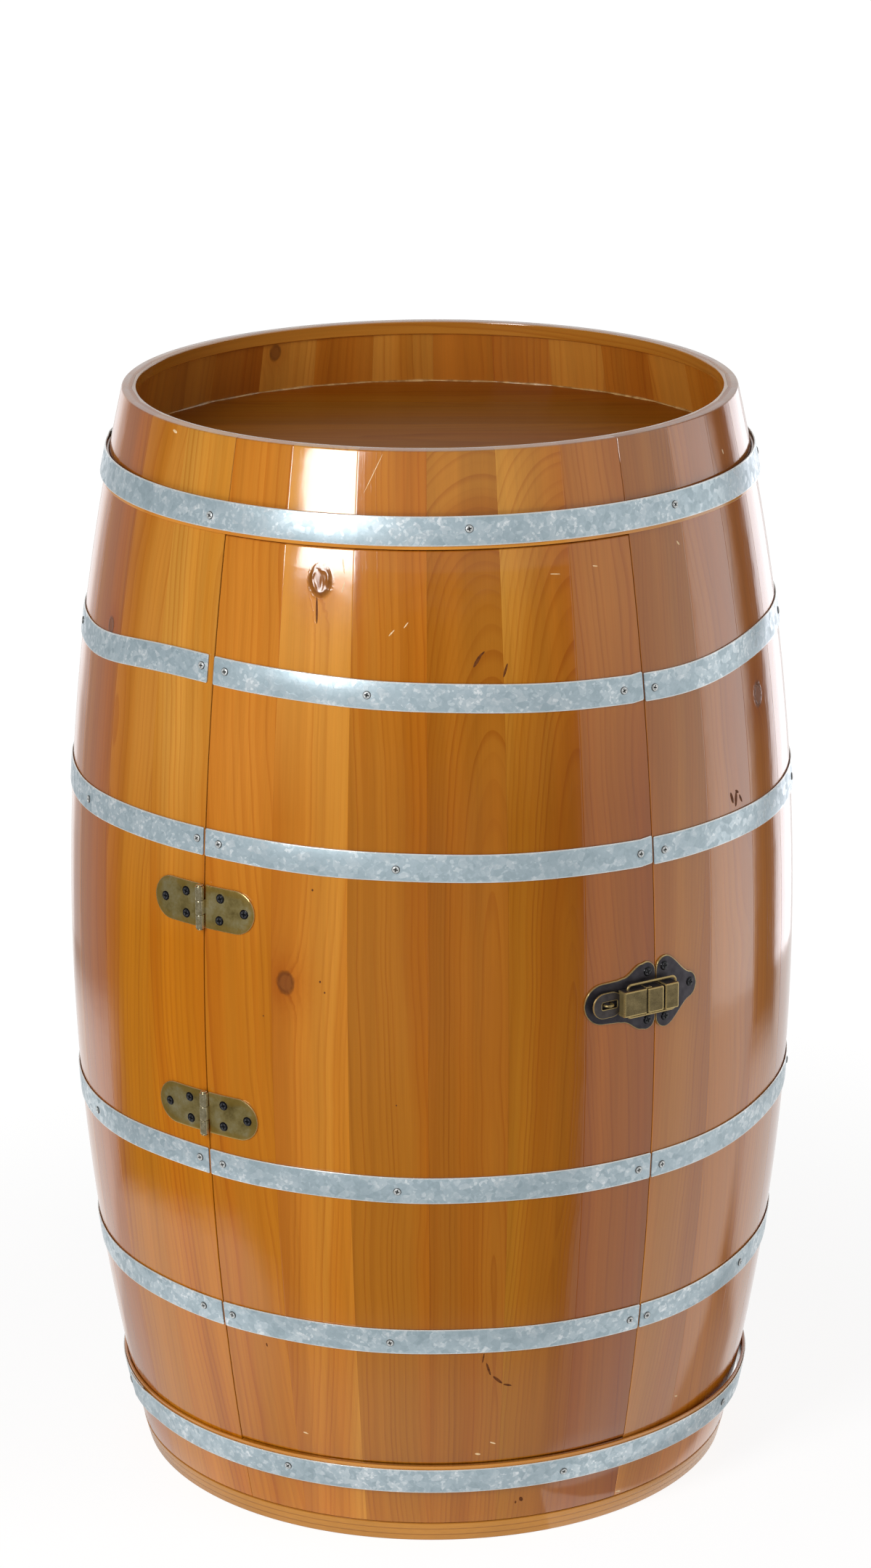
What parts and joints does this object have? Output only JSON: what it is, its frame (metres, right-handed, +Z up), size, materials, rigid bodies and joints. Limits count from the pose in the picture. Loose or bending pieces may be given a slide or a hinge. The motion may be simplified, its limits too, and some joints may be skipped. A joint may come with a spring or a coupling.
{
  "type": "barrel wine cabinet",
  "caption": "Bowed barrel cabinet of lacquered wooden staves and steel hoops, with a hinged door held by a toggle latch, a shelf inside and a shallow tray in its top.",
  "frame": {"origin": "centre of the base board's underside, where the barrel's axis meets the floor", "axes": "+Z up along the barrel's axis, -Y out of the middle of the door, +X to the viewer's right"},
  "size_m": [0.5284, 0.5284, 0.8],
  "materials": {
    "lacquered_fir": "amber softwood under glossy lacquer, tone varying from stave to stave",
    "lacquered_board": "darker stained board under glossy lacquer",
    "lacquered_plywood": "plywood with its plies showing at the edge, lacquered",
    "inner_wood": "plain softwood, thinly sealed",
    "galvanised_steel": "galvanised strip with a mottled spangle",
    "antique_brass": "antique brass, khaki with brighter worn edges",
    "dark_bronze": "darkened brass with bright worn edges"
  },
  "bodies": {
    "carcass": {"body_stave_01": "lacquered_fir", "body_stave_02": "lacquered_fir", "body_stave_03": "lacquered_fir", "body_stave_04": "lacquered_fir", "body_stave_05": "lacquered_fir", "body_stave_06": "lacquered_fir", "body_stave_07": "lacquered_fir", "body_stave_08": "lacquered_fir", "body_stave_09": "lacquered_fir", "body_stave_10": "lacquered_fir", "body_stave_11": "lacquered_fir", "body_stave_12": "lacquered_fir", "body_stave_13": "lacquered_fir", "body_stave_14": "lacquered_fir", "body_stave_15": "lacquered_fir", "body_stave_16": "lacquered_fir", "body_stave_17": "lacquered_fir", "body_stave_18": "lacquered_fir", "body_stave_19": "lacquered_fir", "body_stave_20": "lacquered_fir", "body_stave_21": "lacquered_fir", "body_stave_22": "lacquered_fir", "body_stave_23": "lacquered_fir", "body_stave_24": "lacquered_fir", "door_header": "lacquered_fir", "door_sill": "lacquered_fir", "base_board": "lacquered_plywood", "head_panel": "lacquered_board", "rim_band": "lacquered_fir", "top_hoop_band": "lacquered_fir", "base_hoop_band": "lacquered_fir", "top_hoop": "galvanised_steel", "base_hoop": "galvanised_steel", "upper_quarter_body_strap": "galvanised_steel", "upper_bilge_body_strap": "galvanised_steel", "lower_bilge_body_strap": "galvanised_steel", "lower_quarter_body_strap": "galvanised_steel", "door_stop": "inner_wood", "shelf": "inner_wood", "shelf_ledger": "inner_wood", "upper_hinge_body_leaf": "antique_brass", "lower_hinge_body_leaf": "antique_brass", "upper_hinge_pin": "antique_brass", "lower_hinge_pin": "antique_brass", "latch_catch": "dark_bronze"},
    "door": {"door_stave_1": "lacquered_fir", "door_stave_2": "lacquered_fir", "door_stave_3": "lacquered_fir", "door_stave_4": "lacquered_fir", "door_stave_5": "lacquered_fir", "door_stave_6": "lacquered_fir", "upper_quarter_door_strap": "galvanised_steel", "upper_bilge_door_strap": "galvanised_steel", "lower_bilge_door_strap": "galvanised_steel", "lower_quarter_door_strap": "galvanised_steel", "upper_hinge_door_leaf": "antique_brass", "lower_hinge_door_leaf": "antique_brass", "latch_plate": "dark_bronze"},
    "latch_lever": {"latch_lever": "dark_bronze"},
    "latch_bail": {"latch_bail": "antique_brass"}
  },
  "joints": [
    {"name": "door_hinge", "type": "hinge", "parent": "carcass", "child": "door", "pos_m": [-0.1568, -0.21581, 0.40625], "axis": [0, 0, -1], "range_deg": [0, 160]},
    {"name": "lever_pivot", "type": "hinge", "parent": "door", "child": "latch_lever", "pos_m": [0.15108, -0.22687, 0.417], "axis": [0, 0, 1], "range_deg": [0, 105]},
    {"name": "bail_pivot", "type": "hinge", "parent": "latch_lever", "child": "latch_bail", "pos_m": [0.13645, -0.23146, 0.417], "axis": [0, 0, 1], "range_deg": [-116, 0]}
  ],
  "couplings": [
    {"joint": "bail_pivot", "follows": "lever_pivot", "ratio": -1.1}
  ]
}
